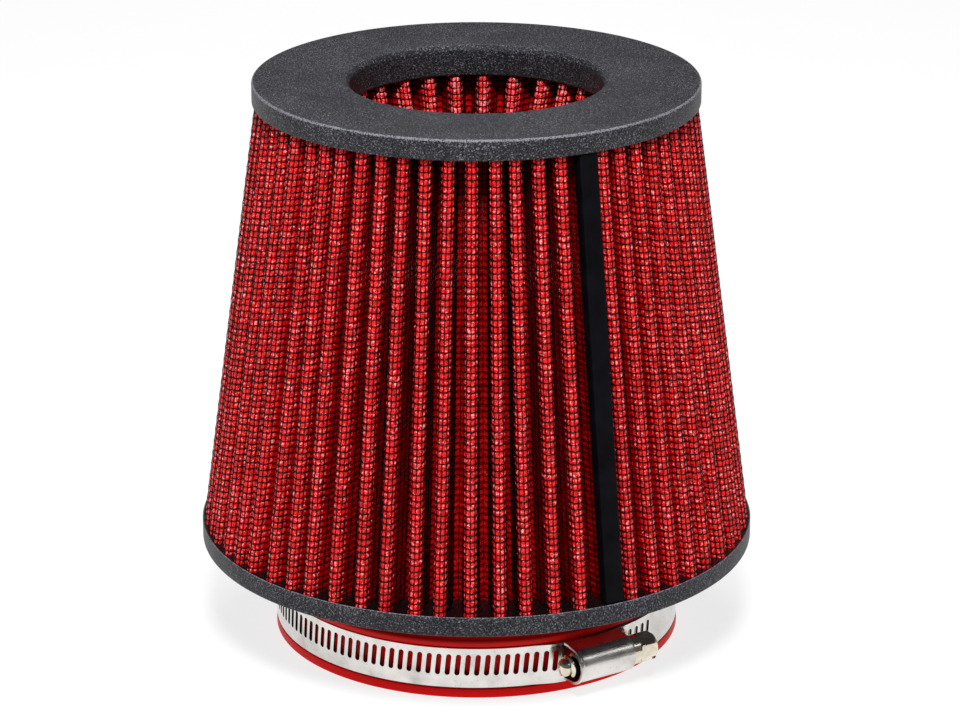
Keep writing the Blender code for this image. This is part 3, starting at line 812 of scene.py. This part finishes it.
def neck():
    """The rubber neck: an upper bead, the clamp's groove, a lower lip, and a stop inside for the pipe."""
    bore, stop, stop_height = 51.0, 49.0, 29.0
    flare, in_flange, wall = 60.5, 56.0, 56.8
    groove, groove_low, groove_high = 55.0, 2.7, 15.3
    room = 0.3
    profile = [
        (stop, NECK_HIGH), (flare, NECK_HIGH), (flare, FLANGE_TOP + room), (in_flange, FLANGE_TOP + room),
        (in_flange, FLANGE_LOW - room), (wall, FLANGE_LOW - room), (wall, 18.6),
    ]
    profile += fillet(57.1, 16.6, 0.9, 70, -20, 6)
    profile += [(57.7, 15.4), (groove, groove_high), (groove, groove_low)]
    profile += fillet(56.6, 2.3, 0.3, 90, 5, 4)
    profile += fillet(56.65, 0.45, 0.45, 5, -90, 5)
    profile += fillet(bore + 0.8, 0.8, 0.8, -90, -180, 4)
    profile += [(bore, stop_height - 0.4), (bore - 0.4, stop_height)]
    profile += [(stop + 0.3, stop_height + 0.2), (stop, stop_height + 0.6)]
    points, faces = revolved(profile, 288)
    piece("neck_rubber", points, faces, RUBBER, "red_rubber", "filter", ("rubber_neck",), sharp=38)


def potting():
    """The resin that the pleats stand in, inside the base ring's lip, painted near black as painted shade
    between the pleats.
    """
    inner, outer = FLANGE_RADIUS - 15.5, FLANGE_RADIUS - 0.3
    low, high = FLANGE_TOP - 1.5, FLANGE_TOP - 0.35
    profile = [
        (inner, high - 0.1), (inner + 0.3, high), (outer - 0.6, high), (outer, high + 0.25),
        (outer, low), (inner, low),
    ]
    points, faces = revolved(profile, FINE_TURN)
    # Painted shade: near-black resin between the pleats' feet.
    piece("potting_painted_shade", points, faces, SHADED_POTTING, "moulded_polyurethane", "filter")


# ---------------------------------------------------------------- clamp

BAND_THICKNESS = 0.6
BAND_LIFT = 0.9            # how far the band and the tail stand off the neck under the housing
BAND_CLIMB = math.radians(8.0)
BAND_START, CLIMB_END, BAND_END, TAIL_START = -3.0, -9.6, -7.4, -1.2    # along the housing
TAIL_END = math.radians(57.3)
SLOT_PITCH = math.radians(2.70)
SLOT_COUNT, TAIL_SLOT_COUNT = 47, 9
BAND_LAST_SLOT, TAIL_LAST_SLOT = math.radians(21.9), math.radians(54.9)
SLOT_WIDTH, SLOT_HEIGHT, SLOT_Z = 1.45, 6.2, 9.7
SLOT_LEAN = math.radians(5.8)
SLOT_CUT = 1.5             # how far a cutter reaches to each side of the band's middle
THREAD_CONTACT = 57.25     # the radius at which a turn of the thread is one slot pitch


def directions(angle):
    """Directions along the band, away from the axis, and up."""
    along = Vector((math.cos(angle), math.sin(angle), 0.0))
    outward = Vector((math.sin(angle), -math.cos(angle), 0.0))
    return along, outward, Vector((0.0, 0.0, 1.0))


def cut(mesh, cutter_mesh, operation="DIFFERENCE"):
    """The mesh that a Boolean leaves, with nothing left in the scene."""
    solid = bpy.data.objects.new("solid", mesh)
    cutter = bpy.data.objects.new("cutter", cutter_mesh)
    for obj in (solid, cutter):
        bpy.context.scene.collection.objects.link(obj)
    boolean = solid.modifiers.new("cut", "BOOLEAN")
    boolean.operation = operation
    boolean.object = cutter
    boolean.solver = "EXACT"
    graph = bpy.context.evaluated_depsgraph_get()
    made = bpy.data.meshes.new_from_object(solid.evaluated_get(graph))
    bpy.data.objects.remove(solid)
    bpy.data.objects.remove(cutter)
    return made


def outward_faces(mesh):
    """The same mesh, with its faces turned outwards."""
    fixed = bmesh.new()
    fixed.from_mesh(mesh)
    bmesh.ops.recalc_face_normals(fixed, faces=fixed.faces)
    fixed.to_mesh(mesh)
    fixed.free()
    return mesh


def as_mesh(built, name):
    mesh = bpy.data.meshes.new(name)
    built.to_mesh(mesh)
    built.free()
    return mesh


def slot_cutters(name, slots, radius_at):
    """Slanted prisms with round ends, one for each slot."""
    built = bmesh.new()
    half_width, half_height = SLOT_WIDTH / 2, SLOT_HEIGHT / 2
    section = [(half_width * math.cos(t), half_height - half_width + half_width * math.sin(t))
               for t in np.linspace(0, math.pi, 9)]
    section += [(-x, -y) for x, y in section]
    lean = Matrix.Rotation(-SLOT_LEAN, 4, "Z")
    for slot in slots:
        along, outward, up = directions(slot)
        place = Matrix((along, up, outward)).transposed().to_4x4()
        place.translation = Vector(polar(radius_at(slot) + BAND_THICKNESS / 2, slot, SLOT_Z))
        low = [built.verts.new(place @ lean @ Vector((x, y, -SLOT_CUT)) * MM) for x, y in section]
        high = [built.verts.new(place @ lean @ Vector((x, y, SLOT_CUT)) * MM) for x, y in section]
        built.faces.new(low)
        built.faces.new(high)
        for i in range(len(section)):
            j = (i + 1) % len(section)
            built.faces.new((low[i], low[j], high[j], high[i]))
    bmesh.ops.recalc_face_normals(built, faces=built.faces)
    return as_mesh(built, name)


def strip(name, start, end, radius_at, slots, body, node):
    """A strip of the band from one angle to another, with bevelled edges and slots cut through it."""
    edge = 0.14
    steps = max(8, round(math.degrees(end - start)))
    angles = np.linspace(start, end, steps + 1)
    outline = np.array([
        (0.0, BAND_LOW + edge), (edge, BAND_LOW), (BAND_THICKNESS - edge, BAND_LOW),
        (BAND_THICKNESS, BAND_LOW + edge), (BAND_THICKNESS, BAND_HIGH - edge),
        (BAND_THICKNESS - edge, BAND_HIGH), (edge, BAND_HIGH), (0.0, BAND_HIGH - edge),
    ])
    inner = np.array([radius_at(a) for a in angles])
    points = polar(inner[:, None] + outline[None, :, 0], angles[:, None], outline[None, :, 1])
    columns = len(outline)
    faces = [list(f) for f in grid_faces(len(angles), columns, wrap=True)]
    faces.append(list(range(columns))[::-1])
    faces.append([(len(angles) - 1) * columns + i for i in range(columns)])
    mesh = bpy.data.meshes.new(name)
    mesh.from_pydata(points.reshape(-1, 3) * MM, [], faces)
    mesh = outward_faces(mesh)
    made = cut(mesh, slot_cutters(name + "_slots", slots, radius_at))
    band = finished(made, name, STEEL, "stainless_steel", body, (node,), sharp=30)
    # The slot walls take the steel painted dark: painted shade.
    band.data.materials.append(SLOT_WALL)
    reach = SLOT_HEIGHT / 2 + 0.1
    for face in band.data.polygons:
        radial = Vector((face.center.x, face.center.y, 0.0)).normalized()
        if abs(face.center.z / MM - SLOT_Z) < reach and abs(face.normal.dot(radial)) < 0.5:
            face.material_index = 1


def clamp():
    """The band, which climbs onto its own tail under the housing, the tail, the housing and the screw."""
    middle = cad_points("clamp_housing").mean(axis=0)
    housing_angle = math.atan2(middle[0], -middle[1])
    band_inner = radii(cad_points("clamp_band")).min()
    lifted = band_inner + BAND_LIFT

    def beside(along):
        return housing_angle + math.atan2(along, lifted)

    climb_end = beside(CLIMB_END)

    def radius_at(angle):
        share = (angle - math.tau - climb_end + BAND_CLIMB) / BAND_CLIMB
        share = min(max(share, 0.0), 1.0)
        return band_inner + BAND_LIFT * share * share * (3 - 2 * share)

    slots = [BAND_LAST_SLOT + math.tau - SLOT_PITCH * i for i in range(SLOT_COUNT)]
    strip("band", beside(BAND_START), beside(BAND_END) + math.tau, radius_at, slots, "clamp", "clamp_band")
    slots = [TAIL_LAST_SLOT - SLOT_PITCH * i for i in range(TAIL_SLOT_COUNT)]
    strip("band_tail", beside(TAIL_START), TAIL_END, lambda angle: lifted, slots, "tail", "clamp_tail")
    place = screw_frame(housing_angle)
    housing(place)
    screw(place)


def screw_frame(housing_angle):
    """Local X points away from the filter's axis, Y down, and Z along the screw to its head."""
    along, outward, _ = directions(housing_angle)
    place = Matrix((outward, along.cross(outward), along)).transposed().to_4x4()
    joint = next(j for j in frame["joints"] if j["name"] == "screw_turn")
    place.translation = Vector(joint["pos_m"]) / MM
    return place


def housing(place):
    """The bent housing: a half-round barrel between two ledges, with a rolled lip at the tip's end."""
    thickness, barrel = 0.6, 5.1
    top = [(-3.7, -5.35), (-3.2, -5.38), (-2.2, -5.40), (-1.7, -5.36), (-1.35, -5.26)]
    arc = [(barrel * math.cos(a), barrel * math.sin(a)) for a in np.radians(np.linspace(-76, 90, 34))]
    foot = [(-0.8, 5.14), (-1.5, 5.30), (-2.2, 5.42), (-3.7, 5.45)]
    outline = np.array(top + arc + foot)
    rolled = np.concatenate([np.zeros(len(top)), np.ones(len(arc)), np.zeros(len(foot))])
    rolled[len(top)] = rolled[-len(foot) - 1] = 0.5
    tangents = np.gradient(outline, axis=0)
    normals = np.stack([tangents[:, 1], -tangents[:, 0]], -1)
    normals /= np.linalg.norm(normals, axis=1, keepdims=True)
    along = np.array([-8.9, -8.78, -8.5, -8.2, -7.95, -7.7, -7.4, -4.0, 0.0, 4.0, 8.3, 8.7, 8.85, 8.9])
    flare = np.array([0.08, 0.17, 0.20, 0.17, 0.05, -0.06, 0.0, 0.0, 0.0, 0.0, 0.0, 0.0, -0.04, -0.14])
    layers = []
    for depth in (0.0, -thickness):
        section = outline[None] + normals[None] * (depth + flare[:, None, None] * rolled[None, :, None])
        spread = np.broadcast_to(along[:, None, None], section.shape[:2] + (1,))
        layers.append(np.concatenate([section, spread], -1))
    rows, columns = layers[0].shape[:2]
    points = np.concatenate([layer.reshape(-1, 3) for layer in layers])
    inner = rows * columns
    faces = [list(f) for f in grid_faces(rows, columns)]
    faces += [list(f[::-1] + inner) for f in grid_faces(rows, columns)]
    border = [row * columns for row in range(rows)]
    border += [(rows - 1) * columns + column for column in range(1, columns)]
    border += [row * columns + columns - 1 for row in range(rows - 2, -1, -1)]
    border += list(range(columns - 2, 0, -1))
    for a, b in zip(border, border[1:] + border[:1]):
        faces.append([a, b, b + inner, a + inner])
    mesh = bpy.data.meshes.new("housing_shell")
    turned = np.array([place @ Vector(p) for p in points])
    mesh.from_pydata(turned * MM, [], faces)
    shell = finished(outward_faces(mesh), "housing_shell", PRESSED_STEEL, "stainless_steel", "clamp",
                     ("clamp_housing",), sharp=40)
    # The shell's inside takes the steel painted dark: painted shade.
    shell.data.materials.append(SLOT_WALL)
    for face in shell.data.polygons:
        if min(face.vertices) >= inner:
            face.material_index = 1


def threaded_shaft():
    """The screw's ball-shaped tip, right-hand thread and collar, turned about local Z."""
    pitch = SLOT_PITCH * THREAD_CONTACT
    thread_start, thread_end = -11.1, 9.2
    root, ridge_height = 2.45, 0.75
    tip, tip_radius, tip_length = -12.9, 2.5, 1.9
    segments = 60
    profile = [(AXIS_HOLE, tip)]
    profile += [(tip_radius * math.sin(t), tip + tip_length * (1 - math.cos(t)))
                for t in np.radians(np.linspace(12, 118, 12))]
    profile += [(None, z) for z in np.linspace(thread_start + 0.5, thread_end - 0.1, 190)]
    profile += [(3.4, 9.2), (4.15, 9.3), (4.3, 9.45), (4.3, 10.1), (4.1, 10.25), (4.1, 11.9)]
    profile += [(4.1, 12.3), (AXIS_HOLE, 12.3)]
    angles = np.arange(segments) * math.tau / segments
    rows = []
    for radius, along in profile:
        if radius is None:
            phase = (along / pitch - angles / math.tau) % 1.0
            ridge = np.clip(1.7 - np.abs(phase - 0.5) * 5.4, 0.0, 1.0)
            fade = min(1.0, (along - thread_start) / 0.9, (thread_end - along) / 0.6)
            radius = root + ridge_height * ridge * fade
        spread = np.full(segments, along)
        rows.append(np.stack([radius * np.cos(angles), radius * np.sin(angles), spread], -1))
    faces = [list(f) for f in grid_faces(len(rows), segments, wrap=True)]
    faces.append(list(range(segments))[::-1])
    faces.append([(len(rows) - 1) * segments + i for i in range(segments)])
    shaft = bpy.data.meshes.new("screw_shaft")
    shaft.from_pydata(np.array(rows).reshape(-1, 3) * MM, [], faces)
    return outward_faces(shaft)


def hexagon_head():
    """The screw's hexagon head, chamfered by a cone, with a slot for a screwdriver."""
    across_flats, length, middle = 8.0, 5.4, 14.5
    corner = across_flats / math.sqrt(3) * MM
    head = bmesh.new()
    bmesh.ops.create_cone(head, cap_ends=True, segments=6, radius1=corner, radius2=corner,
                          depth=length * MM)
    bmesh.ops.translate(head, verts=head.verts, vec=(0.0, 0.0, middle * MM))
    bmesh.ops.bevel(head, geom=list(head.edges), offset=0.25 * MM, segments=3, affect="EDGES", profile=0.6)
    cone = bmesh.new()
    bmesh.ops.create_cone(cone, cap_ends=True, segments=64, radius1=8.2 * MM, radius2=3.5 * MM,
                          depth=8.0 * MM)
    bmesh.ops.translate(cone, verts=cone.verts, vec=(0.0, 0.0, 13.6 * MM))
    notch = bmesh.new()
    bmesh.ops.create_cube(notch, size=MM)
    bmesh.ops.scale(notch, verts=notch.verts, vec=(14.0, 1.3, 4.4))
    bmesh.ops.translate(notch, verts=notch.verts, vec=(0.0, 0.0, 17.2 * MM))
    bmesh.ops.transform(notch, matrix=Matrix.Rotation(math.radians(30.0), 4, "Z"), verts=notch.verts)
    chamfered = cut(as_mesh(head, "screw_hexagon"), as_mesh(cone, "screw_chamfer"), "INTERSECT")
    return cut(chamfered, as_mesh(notch, "screw_notch"))


def screw(place):
    """The worm screw as one mesh, in its place in the housing."""
    mesh = cut(threaded_shaft(), hexagon_head(), "UNION")
    metric = place.copy()
    metric.translation = place.translation * MM
    mesh.transform(metric)
    finished(mesh, "worm_screw", ZINC, "zinc_plated_steel", "screw", ("clamp_screw",), sharp=32)


# ---------------------------------------------------------------- stage

def studio():
    """A pale floor in a dim surround, a main light above the front, one behind and a weak one each side."""
    bpy.ops.mesh.primitive_plane_add(size=8.0, location=(0.0, 0.0, 0.0))
    floor = bpy.context.object
    floor.name = "floor"
    pale = Nodes("floor_white")
    pale.colour(pale.ramp(pale.noise(400.0), [(0.3, (0.21, 0.21, 0.21)), (0.7, (0.23, 0.23, 0.23))]))
    pale.set(Roughness=0.9, Emission_Color=(1.0, 1.0, 1.0, 1.0), Emission_Strength=0.78)
    floor.data.materials.append(pale.material)

    world = bpy.data.worlds.new("studio")
    bpy.context.scene.world = world
    world.use_nodes = True
    background = world.node_tree.nodes["Background"]
    background.inputs["Color"].default_value = (1.0, 1.0, 1.0, 1.0)
    background.inputs["Strength"].default_value = 0.12

    middle = Vector((0.0, 0.0, 0.08))

    def area(name, place, size, power):
        light = bpy.data.lights.new(name, "AREA")
        light.shape = "RECTANGLE"
        light.size = light.size_y = size
        light.energy = power
        lamp = bpy.data.objects.new(name, light)
        lamp.location = place
        lamp.rotation_euler = (middle - Vector(place)).to_track_quat("-Z", "Y").to_euler()
        bpy.context.scene.collection.objects.link(lamp)

    area("top_panel", (0.0, -0.8, 1.15), 0.3, 20.5)
    area("left_panel", (-0.98, -0.44, 0.98), 0.3, 2.0)
    area("right_panel", (0.98, -0.44, 0.98), 0.3, 1.0)
    area("back_panel", (0.0, 0.7, 1.25), 0.5, 7.0)


def camera():
    """The camera, a metre in front and looking a little down."""
    looking_down = 19.526
    shot = bpy.data.cameras.new("camera")
    shot.lens = 139.37
    shot.sensor_width = 36.0
    shot.clip_start = 0.01
    eye = bpy.data.objects.new("camera", shot)
    eye.location = (0.00098, -0.9798, 0.4249)
    eye.rotation_euler = (math.radians(90.0 - looking_down), 0.0, 0.0)
    bpy.context.scene.collection.objects.link(eye)
    bpy.context.scene.camera = eye


studio()
camera()
top_ring()
base_flange()
end_cap()
neck()
outer_cone()
inner_cone()
potting()
seam_clip("outer_clip", "outer_seam_clip", 2.7, 3.5, 0.7, 1)
seam_clip("inner_clip", "inner_seam_clip", 1.9, 0.7, 0.5, -1)
clamp()

bpy.context.scene.view_settings.view_transform = "Standard"
